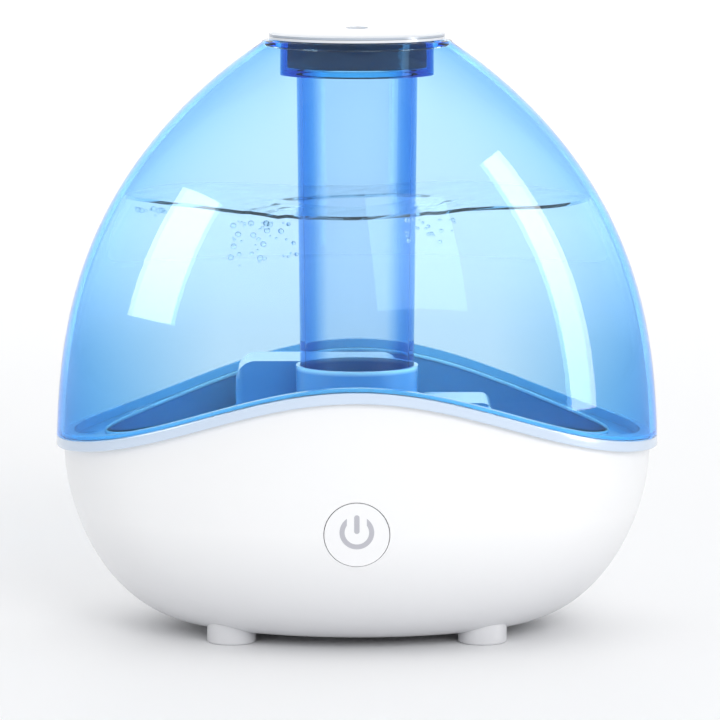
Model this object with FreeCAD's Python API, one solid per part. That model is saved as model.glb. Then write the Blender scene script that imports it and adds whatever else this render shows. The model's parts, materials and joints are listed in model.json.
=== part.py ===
"""Cool mist humidifier: a white oval base with a translucent blue water tank that lifts off.

Origin on the floor under the middle of the object, +Z up, front facing -Y, millimetres.
"""
import os
import math

import FreeCAD
import Part

V = FreeCAD.Vector

# Tank outside
tank_half_width = 110.0
tank_half_depth = 78.0
tank_top = 215.0
tank_top_radius = 33.0
tank_wall = 2.7
shoulder_height = 51.2

# Wavy seam between the tank and the base
seam_low = 66.8
seam_rise = 25.3
seam_span = 240.0

# Base bowl
bowl_bottom = 3.0
bowl_rim = 66.0
floor_half_width = 56.7
floor_half_depth = 39.7
bowl_half_width = 107.0
bowl_half_depth = 75.0
bowl_floor = 7.0
lip_rise = 3.7

# Basin under the tank
well_half_width = 86.0
well_half_depth = 52.0
well_floor = 36.0
shelf_top = 56.0
basin_half_width = 94.6
basin_half_depth = 62.6

# Tank bottom and mist tube
pan_floor = 58.0
pan_thick = 1.6
collar_radius = 22.3
collar_top = 96.3
collar_gap = 0.1
tube_bottom = 84.0
tube_top = 202.3
left_block = (-44.7, 16.5, 12.0, 40.0, 96.0)
right_block = (22.0, 49.0, -21.5, 8.5, 85.0)

# Fill cap and valve
cap_x = -52.0
cap_y = -10.0
neck_radius = 17.5
neck_bore = 15.5
neck_bottom = 48.0

# Nozzle
socket_radius = 27.85
nozzle_radius = 31.9
dome_radius = 175.0

# Inside the base
fan_x = -24.0
fan_y = 30.5
fan_half = 20.0
fan_low = 18.0
fan_high = 28.0
float_x = 35.5
float_y = -6.5
board_low = 25.4
board_high = 27.0
foot_x = 45.2
foot_y = 34.0
foot_radius = 8.8
jack_x = 12.0
jack_z = 32.0

# Power button
button_z = 45.3
button_radius = 11.45
button_tilt = 6.2


def tank_width(z):
    """Half width of the tank's outside at height z."""
    if z <= shoulder_height:
        return tank_half_width
    share = ((z - shoulder_height) / 180.0) ** 2.746
    return tank_half_width * (1.0 - share) ** (1.0 / 1.234)


def tank_depth(z):
    """Half depth of the tank's outside at height z."""
    share = (tank_width(z) - tank_top_radius) / (tank_half_width - tank_top_radius)
    return tank_top_radius + (tank_half_depth - tank_top_radius) * share


def inset(profile, z, wall):
    """Half size at height z of the surface that lies wall inside a profile."""
    low = z
    high = z + wall
    for _ in range(40):
        middle = (low + high) / 2.0
        slope = (profile(middle + 0.01) - profile(middle - 0.01)) / 0.02
        length = math.hypot(1.0, slope)
        if middle + wall * slope / length < z:
            low = middle
        else:
            high = middle
    return profile(middle) - wall / length


def bowl_size(z, bottom, small, large, power):
    """Half size of a bowl that swells from small at its bottom to large at the rim."""
    share = ((bowl_rim - z) / (bowl_rim - bottom)) ** power
    return small + (large - small) * max(0.0, 1.0 - share) ** (1.0 / 2.086)


def base_width(z):
    if z > 62.0:
        return inset(tank_width, z, 3.0)
    return bowl_size(z, bowl_bottom, floor_half_width, bowl_half_width, 1.7685)


def base_depth(z):
    if z > 62.0:
        return inset(tank_depth, z, 3.0)
    return bowl_size(z, bowl_bottom, floor_half_depth, bowl_half_depth, 2.8)


def cavity_width(z):
    if z > 62.0:
        return inset(tank_width, z, 5.5)
    return bowl_size(z, bowl_floor, floor_half_width - 2.5, bowl_half_width - 2.5, 1.7685)


def cavity_depth(z):
    if z > 62.0:
        return inset(tank_depth, z, 5.5)
    return bowl_size(z, bowl_floor, floor_half_depth - 2.5, bowl_half_depth - 2.5, 2.8)


def oval(half_width, half_depth, z):
    return Part.Wire([Part.Ellipse(V(0, 0, z), half_width, half_depth).toShape()])


def oval_block(half_width, half_depth, low, high):
    face = Part.Face(oval(half_width, half_depth, low))
    return face.extrude(V(0, 0, high - low))


def loft(width, depth, heights):
    return Part.makeLoft([oval(width(z), depth(z), z) for z in heights], True, False)


def tank_core(wall, heights):
    """Solid filling the tank's outside, drawn in by a wall thickness."""
    def width(z):
        return inset(tank_width, z, wall) if wall else tank_width(z)

    def depth(z):
        return inset(tank_depth, z, wall) if wall else tank_depth(z)

    return loft(width, depth, heights)


def low_core(wall):
    return tank_core(wall, [50, 60, 70, 80, 90, 100])


def disc(x, y, radius, low, high):
    return Part.makeCylinder(radius, high - low, V(x, y, low))


def ring(x, y, outer, inner, low, high):
    return disc(x, y, outer, low, high).cut(disc(x, y, inner, low - 1, high + 1))


def block(x0, x1, y0, y1, z0, z1):
    return Part.makeBox(x1 - x0, y1 - y0, z1 - z0, V(x0, y0, z0))


def round_block(x0, x1, y0, y1, z0, z1, radius):
    """Block whose four upright edges are rounded."""
    centres = [
        (x1 - radius, y1 - radius, 45.0),
        (x0 + radius, y1 - radius, 135.0),
        (x0 + radius, y0 + radius, 225.0),
        (x1 - radius, y0 + radius, 315.0),
    ]
    arcs = []
    for x, y, angle in centres:
        points = []
        for turn in (-45.0, 0.0, 45.0):
            a = math.radians(angle + turn)
            points.append(V(x + radius * math.cos(a), y + radius * math.sin(a), z0))
        arcs.append(points)
    edges = []
    for number, points in enumerate(arcs):
        after = arcs[(number + 1) % 4]
        edges.append(Part.Arc(points[0], points[1], points[2]).toShape())
        edges.append(Part.LineSegment(points[2], after[0]).toShape())
    return Part.Face(Part.Wire(edges)).extrude(V(0, 0, z1 - z0))


def crowned_block(x0, x1, y0, y1, z0, z1, side, crown):
    """Block with rounded upright edges and rounded top corners seen from the front."""
    upright = round_block(x0, x1, y0, y1, z0, z1, side)
    arch = round_block(x0, x1, z0 - 40.0, z1, -y1, -y0, crown)
    arch.rotate(V(0, 0, 0), V(1, 0, 0), 90)
    return upright.common(arch)


def seam_height(x):
    return seam_low + seam_rise * math.cos(math.pi * x / seam_span) ** 2


def below_seam(rise):
    """Everything under the wavy seam, moved up by rise."""
    points = [V(x, -90, seam_height(x) + rise) for x in range(-120, 121, 12)]
    curve = Part.BSplineCurve()
    curve.interpolate(points)
    left = V(-120, -90, -10)
    right = V(120, -90, -10)
    edges = [
        curve.toShape(),
        Part.LineSegment(points[-1], right).toShape(),
        Part.LineSegment(right, left).toShape(),
        Part.LineSegment(left, points[0]).toShape(),
    ]
    return Part.Face(Part.Wire(edges)).extrude(V(0, 180, 0))


def seam_slab(low, high):
    return below_seam(high).cut(below_seam(low))


def screw(x, y, radius, low, high, head_radius, head_low, head_high):
    shank = disc(x, y, radius, low, high)
    head = disc(x, y, head_radius, head_low, head_high)
    slot = block(x - head_radius, x + head_radius, y - 0.35, y + 0.35, 0, 0.6)
    if head_low > low:
        slot.translate(V(0, 0, head_high - 0.6))
    else:
        slot.translate(V(0, 0, head_low))
    return shank.fuse(head).cut(slot).removeSplitter()


def tube_path(points, bend):
    """Wire of straight runs joined by tangent arcs."""
    edges = []
    start = points[0]
    for before, corner, after in zip(points, points[1:], points[2:]):
        into = (corner - before).normalize()
        out = (after - corner).normalize()
        angle = into.getAngle(out)
        reach = bend * math.tan(angle / 2.0)
        first = corner - into * reach
        last = corner + out * reach
        inner = (out - into).normalize()
        centre = corner + inner * (bend / math.cos(angle / 2.0))
        middle = centre - inner * bend
        edges.append(Part.LineSegment(start, first).toShape())
        edges.append(Part.Arc(first, middle, last).toShape())
        start = last
    edges.append(Part.LineSegment(start, points[-1]).toShape())
    return Part.Wire(edges)


def cable(points, radius, bend):
    path = tube_path(points, bend)
    heading = points[1] - points[0]
    profile = Part.Wire([Part.makeCircle(radius, points[0], heading)])
    return path.makePipeShell([profile], True, False)


def group(shapes):
    return Part.makeCompound(shapes)


def button_placement():
    """Local frame of the button: x right, y down the face, z into the base."""
    spot = V(0, -base_depth(button_z), button_z)
    return FreeCAD.Placement(spot, FreeCAD.Rotation(V(1, 0, 0), button_tilt - 90.0))


def placed(shape):
    shape.Placement = button_placement().multiply(shape.Placement)
    return shape


def base_outside():
    return loft(base_width, base_depth, [3, 3.7, 5, 8, 12, 18, 25, 33, 42, 51, 60, 70, 80, 90, 100])


tray_posts = [(x, y) for x in (-56.5, 56.5) for y in (-46.8, 46.8)]
cover_posts = [(48.4, 0.0), (-48.4, 0.0), (0.0, 31.2), (0.0, -31.2)]
board_posts = [(x, y) for x in (24.0, 68.0) for y in (-22.0, 20.0)]
clamp_posts = [(16.8 * math.cos(math.radians(a)), 16.8 * math.sin(math.radians(a))) for a in (60, 180, 300)]
fan_posts = [(fan_x + dx, fan_y + dy) for dx in (-16, 16) for dy in (-16, 16)]
switch_posts = [-15.6, 15.6]
feet = {
    "foot_front_left": (-foot_x, -foot_y),
    "foot_front_right": (foot_x, -foot_y),
    "foot_rear_left": (-foot_x, foot_y),
    "foot_rear_right": (foot_x, foot_y),
}


def base_shell():
    outside = base_outside()
    cavity = loft(cavity_width, cavity_depth, [7, 7.8, 10, 14, 20, 28, 37, 46, 54, 60, 70, 80, 90, 100])
    shell = outside.cut(cavity).common(below_seam(lip_rise))
    shell = shell.cut(low_core(4.6).cut(below_seam(-1.8)))
    for x, y in tray_posts:
        shell = shell.fuse(disc(x, y, 3.2, 5, shelf_top - 2.0).common(outside))
    shell = shell.cut(oval_block(51.3, 34.5, 2, 5)).cut(oval_block(46, 29.5, 4, 8))
    for x, y in cover_posts:
        shell = shell.fuse(disc(x, y, 3.2, 5, 13)).cut(disc(x, y, 1.4, 4, 12))
    for x, y in tray_posts:
        shell = shell.cut(disc(x, y, 1.4, 40, 60))
    for x, y in feet.values():
        shell = shell.cut(disc(x, y, 2.5, 0, 12))
    posts = [placed(disc(x, 0, 2.6, 1.5, 8.8)) for x in switch_posts]
    for post in posts:
        shell = shell.fuse(post)
    for x in switch_posts:
        shell = shell.cut(placed(disc(x, 0, 1.0, 3.0, 9.0)))
    boss = Part.makeCylinder(6.6, 9.0, V(jack_x, 65.9, jack_z), V(0, 1, 0)).common(outside)
    shell = shell.fuse(boss)
    shell = shell.cut(Part.makeCylinder(4.2, 20.0, V(jack_x, 60, jack_z), V(0, 1, 0)))
    return shell.cut(placed(disc(0, 0, button_radius + 0.3, -5, 6)))


def bottom_cover():
    cover = oval_block(51.0, 34.2, 3, 5)
    for number in range(9):
        x = -34.0 + number * 5.0
        reach = 24.0 * math.sqrt(1.0 - (x / 50.0) ** 2)
        cover = cover.cut(round_block(x - 1.3, x + 1.3, 2.0, reach, 2, 6, 1.25))
    for x, y in cover_posts:
        cover = cover.cut(disc(x, y, 1.6, 2, 6)).cut(disc(x, y, 2.8, 2, 4.2))
    return cover


def cover_screws():
    return group([screw(x, y, 1.25, 4.0, 11.5, 2.6, 3.2, 4.2) for x, y in cover_posts])


def foot(x, y):
    pad = disc(x, y, foot_radius, 0, 12)
    edges = [edge for edge in pad.Edges if edge.BoundBox.ZMax < 0.1]
    pad = pad.makeFillet(0.8, edges).cut(base_outside())
    return pad.fuse(disc(x, y, 2.4, 2, 10)).removeSplitter()


def basin_tray():
    """Shelf round the well, with a wall up to the seam and a rim that sits on the base."""
    rim = low_core(4.8).common(seam_slab(-1.8, 0.2))
    wall = oval_block(basin_half_width + 2, basin_half_depth + 2, shelf_top - 2, 100).common(below_seam(0.2))
    tray = rim.fuse(wall)
    tray = tray.cut(oval_block(basin_half_width, basin_half_depth, shelf_top, 110))
    tray = tray.cut(oval_block(well_half_width, well_half_depth, 50, 110))
    for x, y in tray_posts:
        tray = tray.cut(disc(x, y, 1.7, 50, 60))
    return tray.removeSplitter()


def water_well():
    """Cup under the shelf that holds the water over the transducer."""
    well = oval_block(well_half_width + 2, well_half_depth + 2, well_floor - 2, shelf_top - 2)
    well = well.cut(oval_block(well_half_width, well_half_depth, well_floor, 110))
    well = well.fuse(disc(cap_x, cap_y, 2.2, well_floor - 1, 43.3))
    for x, y in board_posts:
        well = well.fuse(disc(x, y, 3.0, board_high, well_floor - 1)).cut(disc(x, y, 0.9, board_high - 1, 33))
    for x, y in clamp_posts:
        well = well.cut(disc(x, y, 1.0, 33, 35.3))
    duct_hole = block(-39, -7, 17.5, 34.5, 30, 40).cut(disc(0, 0, 26.2, 29, 41))
    well = well.cut(duct_hole).cut(disc(0, 0, 9.5, 30, 40))
    return well.cut(disc(float_x, float_y, 2.0, 30, 40)).removeSplitter()


def tray_screws():
    return group([screw(x, y, 1.35, 42, 56.5, 2.8, shelf_top, 57.4) for x, y in tray_posts])


def air_duct():
    """Tower that carries the fan's air up beside the mist tube."""
    x0, x1, y0, y1 = -41.5, 13.3, 15.2, 36.8
    outside = round_block(x0, x1, y0, y1, well_floor, 91, 3.0).cut(disc(0, 0, 24.0, 30, 95))
    inside = round_block(x0 + 1.8, x1 - 1.8, y0 + 1.8, y1 - 1.8, well_floor - 1, 89.2, 1.4)
    inside = inside.cut(disc(0, 0, 25.8, 30, 95))
    return outside.cut(inside).cut(block(-10, 8, 14, 27, 62, 80))


def fan_shroud():
    keep_out = disc(0, 0, 14.6, 20, 40)
    x0, x1, y0, y1 = fan_x - fan_half, fan_x + fan_half, fan_y - fan_half, fan_y + fan_half
    outside = round_block(x0, x1, y0, y1, fan_high, well_floor - 2, 3.0).cut(keep_out)
    inside = round_block(x0 + 1.6, x1 - 1.6, y0 + 1.6, y1 - 1.6, fan_high - 1, 40, 1.5)
    shroud = outside.cut(inside.cut(disc(0, 0, 16.2, 20, 41)))
    for x, y in fan_posts:
        shroud = shroud.fuse(disc(x, y, 2.6, fan_high, well_floor - 2).common(outside))
    for x, y in fan_posts:
        shroud = shroud.cut(disc(x, y, 1.1, fan_high - 1, 33))
    return shroud.removeSplitter()


def fan_housing():
    x0, x1, y0, y1 = fan_x - fan_half, fan_x + fan_half, fan_y - fan_half, fan_y + fan_half
    frame = round_block(x0, x1, y0, y1, fan_low, fan_high, 3.0)
    frame = frame.cut(disc(fan_x, fan_y, 18.5, 10, 40))
    for angle in (30, 150, 270):
        arm = block(0, 18.9, -1.2, 1.2, fan_low, fan_low + 1.4)
        arm.rotate(V(0, 0, 0), V(0, 0, 1), angle)
        arm.translate(V(fan_x, fan_y, 0))
        frame = frame.fuse(arm)
    frame = frame.fuse(disc(fan_x, fan_y, 7.2, fan_low, fan_low + 1.4))
    for x, y in fan_posts:
        frame = frame.cut(disc(x, y, 1.5, 10, 40))
    return frame.removeSplitter()


def fan_motor():
    stator = ring(fan_x, fan_y, 6.2, 1.08, fan_low + 1.4, fan_low + 6.2)
    for number in range(4):
        slot = block(3.4, 7, -0.7, 0.7, fan_low + 2.2, fan_low + 7)
        slot.rotate(V(0, 0, 0), V(0, 0, 1), 90 * number + 45)
        slot.translate(V(fan_x, fan_y, 0))
        stator = stator.cut(slot)
    return stator


def fan_rotor():
    blades = None
    for number in range(7):
        blade = block(6.8, 18.4, -0.45, 0.45, -5.2, 5.2)
        blade.rotate(V(0, 0, 0), V(1, 0, 0), 52)
        blade.translate(V(0, 0, 23.2))
        blade.rotate(V(0, 0, 0), V(0, 0, 1), 360.0 * number / 7)
        blades = blade if blades is None else blades.fuse(blade)
    blades = blades.common(ring(0, 0, 17.7, 6.9, 20.2, 26.4))
    hub = disc(0, 0, 7.6, 20.0, 26.6).cut(disc(0, 0, 6.8, 19.0, 25.4))
    shaft = disc(0, 0, 1.0, 20.0, 26.0)
    rotor = hub.fuse(shaft).fuse(blades).removeSplitter()
    rotor.translate(V(fan_x, fan_y, 0))
    return rotor


def fan_screws():
    return group([screw(x, y, 1.05, 17.8, 32.0, 2.2, 16.8, fan_low) for x, y in fan_posts])


def transducer_seal():
    seal = ring(0, 0, 12.4, 8.4, 30.6, 34.0)
    return seal.cut(disc(0, 0, 10.05, 31.7, 33.1))


def transducer_disc():
    return disc(0, 0, 10.0, 31.75, 33.05)


def transducer_clamp():
    clamp = ring(0, 0, 14.0, 8.4, 28.6, 30.6).fuse(ring(0, 0, 14.0, 12.5, 30.0, 34.0))
    for x, y in clamp_posts:
        clamp = clamp.fuse(disc(x, y, 3.2, 31.5, 34.0).cut(disc(0, 0, 13.2, 30, 35)))
    for x, y in clamp_posts:
        clamp = clamp.cut(disc(x, y, 1.2, 30, 35))
    return clamp.removeSplitter()


def transducer_screws():
    return group([screw(x, y, 0.95, 30.4, 35.1, 2.1, 30.3, 31.5) for x, y in clamp_posts])


def float_post():
    post = disc(float_x, float_y, 2.6, well_floor, 74).fuse(disc(float_x, float_y, 1.9, 33.8, 40))
    return post.fuse(disc(float_x, float_y, 4.2, 72.4, 74)).removeSplitter()


def float_body():
    body = ring(float_x, float_y, 9.0, 3.2, 38.2, 50.0)
    edges = [edge for edge in body.Edges if edge.BoundBox.XLength > 15 and edge.BoundBox.ZLength < 0.1]
    body = body.makeFillet(1.5, edges)
    return body.cut(ring(float_x, float_y, 6.6, 4.2, 37, 40.2))


def float_magnet():
    return ring(float_x, float_y, 6.5, 4.3, 38.4, 40.2)


def main_board():
    board = round_block(20, 72, -26, 24, board_low, board_high, 2.0)
    for x, y in board_posts:
        board = board.cut(disc(x, y, 1.5, 20, 30))
    return board


def board_screws():
    """Six alike: four in the main board and two in the switch board."""
    screws = [screw(x, y, 0.85, 24.6, 32.5, 2.0, 24.2, board_low) for x, y in board_posts]
    screws += [placed(screw(x, 0, 0.85, 3.3, 11.2, 2.0, 10.4, 11.6)) for x in switch_posts]
    return group(screws)


def heat_sink():
    sink = block(46, 66, -14, 4, 14.0, 24.0)
    for number in range(5):
        x = 47.8 + number * 3.6
        sink = sink.cut(block(x, x + 2.0, -15, 5, 13, 21.8))
    return sink


def drive_transistor():
    body = block(40.8, 45.6, -10, 0, 14.0, 22.4)
    legs = [block(42.8, 43.6, y - 0.4, y + 0.4, 22.0, board_low) for y in (-7.5, -5.0, -2.5)]
    for leg in legs:
        body = body.fuse(leg)
    return body


def capacitors():
    spots = [(29.0, 13.0, 4.0, 13.0), (38.5, 14.0, 3.0, 16.5), (46.0, 15.0, 2.5, 17.5)]
    return group([disc(x, y, radius, low, board_low) for x, y, radius, low in spots])


def coil():
    return Part.makeTorus(4.2, 2.2, V(56.5, 13.5, 22.8), V(0, 0, 1))


def board_connectors():
    spots = [(23.0, -14.0, 5.0, 7.5), (31.0, -20.0, 7.5, 5.0), (23.0, 5.5, 5.0, 7.5), (41.0, -20.0, 7.5, 5.0)]
    plugs = []
    for x, y, wide, deep in spots:
        plugs.append(block(x - wide / 2, x + wide / 2, y - deep / 2, y + deep / 2, 19.0, board_low))
    return group(plugs)


def level_sensor():
    holder = block(float_x - 5.0, float_x + 5.0, float_y - 2.2, float_y + 2.2, board_high, 29.0)
    bulb = Part.makeCylinder(1.5, 14.0, V(float_x - 7.0, float_y, 30.0), V(1, 0, 0))
    return holder.fuse(bulb)


def tank_shell():
    heights = [60, 75, 90, 105, 120, 135, 150, 162, 174, 185, 195, 203, 209, 215]
    inner = [50, 65, 80, 95, 110, 125, 140, 155, 168, 180, 190, 199, 206, 212.3]
    shell = tank_core(0, heights).cut(tank_core(tank_wall, inner)).cut(below_seam(0))
    return shell.cut(disc(0, 0, socket_radius + 0.05, 200, 220))


def hood(size, side, crown):
    """Hollow box on the tank's bottom, open below, over something that stands in the basin."""
    x0, x1, y0, y1, top = size
    wall = pan_thick
    outside = crowned_block(x0, x1, y0, y1, pan_floor + pan_thick, top, side, crown)
    inside = crowned_block(x0 + wall, x1 - wall, y0 + wall, y1 - wall, 50, top - wall, side - 1.0, crown - wall)
    return outside.cut(inside).cut(disc(0, 0, collar_radius + collar_gap, 50, 100))


def hood_footprint(size, side):
    x0, x1, y0, y1, _ = size
    wall = pan_thick
    return round_block(x0 + wall, x1 - wall, y0 + wall, y1 - wall, 50, pan_floor + 4, side - 1.0)


def duct_hood():
    return hood(left_block, 3.0, 7.5)


def float_hood():
    return hood(right_block, 3.0, 4.0)


def tank_bottom():
    wall = low_core(4.9).cut(low_core(6.3)).common(seam_slab(0.3, 5.1))
    web = low_core(tank_wall).cut(low_core(6.0)).common(seam_slab(3.9, 5.1))
    flange = low_core(4.9).cut(oval_block(92.5, 60.5, 40, 110)).common(seam_slab(0.3, 1.9))
    pan = oval_block(93.6, 61.6, pan_floor, 110).common(below_seam(1.9))
    pan = pan.cut(oval_block(92.0, 60.0, pan_floor + pan_thick, 110))
    bottom = pan.fuse(flange).fuse(wall).fuse(web)
    rim = disc(0, 0, collar_radius, 50, pan_floor + 4)
    bottom = bottom.cut(hood_footprint(left_block, 3.0).cut(rim))
    bottom = bottom.cut(hood_footprint(right_block, 3.0).cut(rim))
    bottom = bottom.cut(disc(0, 0, 19.0, 50, 100))
    return bottom.cut(disc(cap_x, cap_y, neck_bore, 40, 62)).removeSplitter()


def tube_collar():
    """Upright collar round the way in of the mist, with a window towards the duct."""
    collar = ring(0, 0, collar_radius, 19.0, pan_floor + pan_thick, collar_top)
    collar = collar.cut(disc(0, 0, 20.9, tube_bottom - 1.5, 100))
    return collar.cut(block(-10, 8, 12, 26, 62, 80))


def fill_neck():
    return ring(cap_x, cap_y, neck_radius, neck_bore, neck_bottom, pan_floor)


def tube_seal():
    return ring(0, 0, 20.8, 19.0, tube_bottom - 1.5, tube_bottom)


def mist_tube():
    length = tube_top - tube_bottom
    outside = Part.makeCone(20.6, 21.9, length, V(0, 0, tube_bottom))
    return outside.cut(Part.makeCone(18.6, 19.9, length, V(0, 0, tube_bottom)))


def nozzle_socket():
    cup = disc(0, 0, socket_radius, tube_top, tank_top)
    cup = cup.cut(disc(0, 0, 25.6, tube_top + 2.0, 220))
    return cup.cut(disc(0, 0, 19.9, 200, 220))


def nozzle_seal():
    sleeve = ring(0, 0, 25.3, 24.6, 205.0, 215.2)
    return sleeve.fuse(ring(0, 0, 30.0, 24.6, 215.05, 215.35)).removeSplitter()


def nozzle_ring():
    flange = ring(0, 0, nozzle_radius, 21.0, 215.35, 216.3)
    return flange.fuse(ring(0, 0, 24.6, 22.6, 206.0, 215.8)).removeSplitter()


def nozzle_cap():
    """Shallow dome with one round outlet in front of its middle."""
    rim = 217.2
    apex = rim + nozzle_radius ** 2 / (2.0 * dome_radius)
    ball = Part.makeSphere(dome_radius, V(0, 0, apex - dome_radius))
    hollow = Part.makeSphere(dome_radius - 1.6, V(0, 0, apex - dome_radius))
    dome = disc(0, 0, nozzle_radius, 216.4, apex + 1).common(ball)
    dome = dome.cut(disc(0, 0, 28.0, 210, 230).common(hollow))
    dome = dome.fuse(ring(0, 0, 20.7, 19.4, tank_top + 0.5, 218.2))
    return dome.cut(disc(0, -10.8, 4.0, 210, 225)).removeSplitter()


def fill_cap():
    cap = ring(cap_x, cap_y, 20.3, neck_radius + 0.3, 46, 57.2).fuse(disc(cap_x, cap_y, 20.3, 45, 47))
    for number in range(20):
        angle = math.radians(18.0 * number)
        rib = disc(cap_x + 20.1 * math.cos(angle), cap_y + 20.1 * math.sin(angle), 1.0, 45.6, 56.6)
        cap = cap.fuse(rib)
    cap = cap.fuse(disc(cap_x, cap_y, 9.6, 45, 53)).cut(disc(cap_x, cap_y, 8.0, 44, 51))
    cap = cap.cut(disc(cap_x, cap_y, 5.0, 50, 54))
    for angle in (0, 120, 240):
        arm = block(0, 5.4, -0.6, 0.6, 51, 53)
        arm.rotate(V(0, 0, 0), V(0, 0, 1), angle)
        arm.translate(V(cap_x, cap_y, 0))
        cap = cap.fuse(arm)
    cap = cap.fuse(disc(cap_x, cap_y, 3.0, 51, 53))
    return cap.cut(disc(cap_x, cap_y, 2.0, 50, 54)).removeSplitter()


def cap_gasket():
    return ring(cap_x, cap_y, 17.5, 15.0, 47, 47.9)


def valve_plunger():
    plunger = disc(cap_x, cap_y, 5.0, 43.5, 45).fuse(disc(cap_x, cap_y, 1.7, 44, 59))
    return plunger.fuse(disc(cap_x, cap_y, 6.0, 58, 59.4)).removeSplitter()


def valve_seal():
    return ring(cap_x, cap_y, 7.0, 1.75, 56.5, 58.0)


def valve_spring():
    """Five turns of wire, each drawn as a level ring."""
    turns = [Part.makeTorus(3.9, 0.38, V(cap_x, cap_y, 45.45 + 1.28 * number)) for number in range(5)]
    return group(turns)


def icon_outline(low, high):
    arc = ring(0, -1.05, 6.1, 4.3, low, high).cut(block(-3.5, 3.5, -9, -1.05, low - 1, high + 1))
    bar = round_block(-0.95, 0.95, -7.3, -0.6, low, high, 0.9)
    return [placed(arc), placed(bar)]


def button_front():
    """Inside of the surface the button's face lies on, just proud of the base."""
    front = base_outside()
    front.translate(button_placement().Rotation.multVec(V(0, 0, -0.3)))
    return front


def power_button():
    button = placed(disc(0, 0, button_radius, -4, 5.0)).common(button_front())
    button = button.fuse(placed(disc(0, 0, 12.8, 4.4, 5.0))).cut(placed(disc(0, 0, 9.6, 1.8, 6)))
    button = button.fuse(placed(disc(0, 0, 2.0, 1.0, 4.1)))
    for shape in icon_outline(-4, 0.3):
        button = button.cut(shape)
    return button.removeSplitter()


def power_icon():
    front = button_front()
    return group([shape.common(front) for shape in icon_outline(-4, 0.3)])


def switch_stem():
    return placed(disc(0, 0, 1.7, 4.2, 5.7))


def tact_switch():
    body = placed(block(-3, 3, -3, 3, 5.3, 8.8))
    return body.cut(placed(disc(0, 0, 2.0, 4, 7.0)))


def switch_board():
    board = placed(round_block(-19, 19, -6.2, 6.2, 8.8, 10.4, 1.5))
    for x in switch_posts:
        board = board.cut(placed(disc(x, 0, 1.4, 8, 12)))
    return board


def indicator_led():
    lamp = disc(7.6, 0, 1.5, 6.4, 8.8).fuse(Part.makeSphere(1.5, V(7.6, 0, 6.4)))
    return placed(lamp.fuse(disc(7.6, 0, 1.9, 8.0, 8.8)).removeSplitter())


def dc_jack():
    body = block(jack_x - 5, jack_x + 5, 55.5, 64.8, jack_z - 5.5, jack_z + 5.5)
    along = V(0, 1, 0)
    body = body.fuse(Part.makeCylinder(4.0, 6.6, V(jack_x, 64.0, jack_z), along))
    return body.cut(Part.makeCylinder(2.8, 10.0, V(jack_x, 61.0, jack_z), along)).removeSplitter()


def jack_pin():
    along = V(0, 1, 0)
    pin = Part.makeCylinder(1.0, 8.4, V(jack_x, 61.0, jack_z), along)
    return pin.fuse(Part.makeSphere(1.0, V(jack_x, 69.4, jack_z)))


def fan_lead():
    return cable([V(-9, 10.5, 22), V(-9, 4, 22), V(20.5, 4, 22)], 1.1, 3.0)


def transducer_lead():
    return cable([V(0, -11.5, 28.6), V(0, -11.5, 21), V(20.5, -11.5, 21)], 1.0, 3.0)


def jack_lead():
    points = [V(jack_x, 55.5, 31), V(jack_x, 48, 31), V(jack_x, 48, 22), V(jack_x, 7.5, 22), V(20.5, 7.5, 22)]
    return cable(points, 1.2, 3.0)


def switch_lead():
    end = button_placement().multVec(V(10, 3, 10.5))
    points = [end, V(10, -58, end.z + 0.3), V(10, -58, 22), V(31, -58, 22), V(31, -22.5, 22)]
    return cable(points, 1.0, 3.0)


def main():
    os.makedirs("parts", exist_ok=True)
    nodes = {
        "base_shell": base_shell,
        "bottom_cover": bottom_cover,
        "cover_screws": cover_screws,
        "basin_tray": basin_tray,
        "water_well": water_well,
        "tray_screws": tray_screws,
        "air_duct": air_duct,
        "fan_shroud": fan_shroud,
        "fan_housing": fan_housing,
        "fan_motor": fan_motor,
        "fan_rotor": fan_rotor,
        "fan_screws": fan_screws,
        "transducer_disc": transducer_disc,
        "transducer_seal": transducer_seal,
        "transducer_clamp": transducer_clamp,
        "transducer_screws": transducer_screws,
        "float_post": float_post,
        "float_body": float_body,
        "float_magnet": float_magnet,
        "main_board": main_board,
        "board_screws": board_screws,
        "heat_sink": heat_sink,
        "drive_transistor": drive_transistor,
        "capacitors": capacitors,
        "coil": coil,
        "board_connectors": board_connectors,
        "level_sensor": level_sensor,
        "tank_shell": tank_shell,
        "tank_bottom": tank_bottom,
        "duct_hood": duct_hood,
        "float_hood": float_hood,
        "tube_collar": tube_collar,
        "fill_neck": fill_neck,
        "tube_seal": tube_seal,
        "mist_tube": mist_tube,
        "nozzle_socket": nozzle_socket,
        "nozzle_seal": nozzle_seal,
        "nozzle_ring": nozzle_ring,
        "nozzle_cap": nozzle_cap,
        "fill_cap": fill_cap,
        "cap_gasket": cap_gasket,
        "valve_plunger": valve_plunger,
        "valve_seal": valve_seal,
        "valve_spring": valve_spring,
        "power_button": power_button,
        "power_icon": power_icon,
        "switch_stem": switch_stem,
        "tact_switch": tact_switch,
        "switch_board": switch_board,
        "indicator_led": indicator_led,
        "dc_jack": dc_jack,
        "jack_pin": jack_pin,
        "fan_lead": fan_lead,
        "transducer_lead": transducer_lead,
        "jack_lead": jack_lead,
        "switch_lead": switch_lead,
    }
    shapes = {name: make() for name, make in nodes.items()}
    for name, (x, y) in feet.items():
        shapes[name] = foot(x, y)
    for name, shape in shapes.items():
        shape.exportStep("parts/" + name + ".step")
        print(name, len(shape.Solids), "solid(s)", round(shape.Volume / 1000.0, 2), "cm3", shape.isValid())


main()
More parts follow.
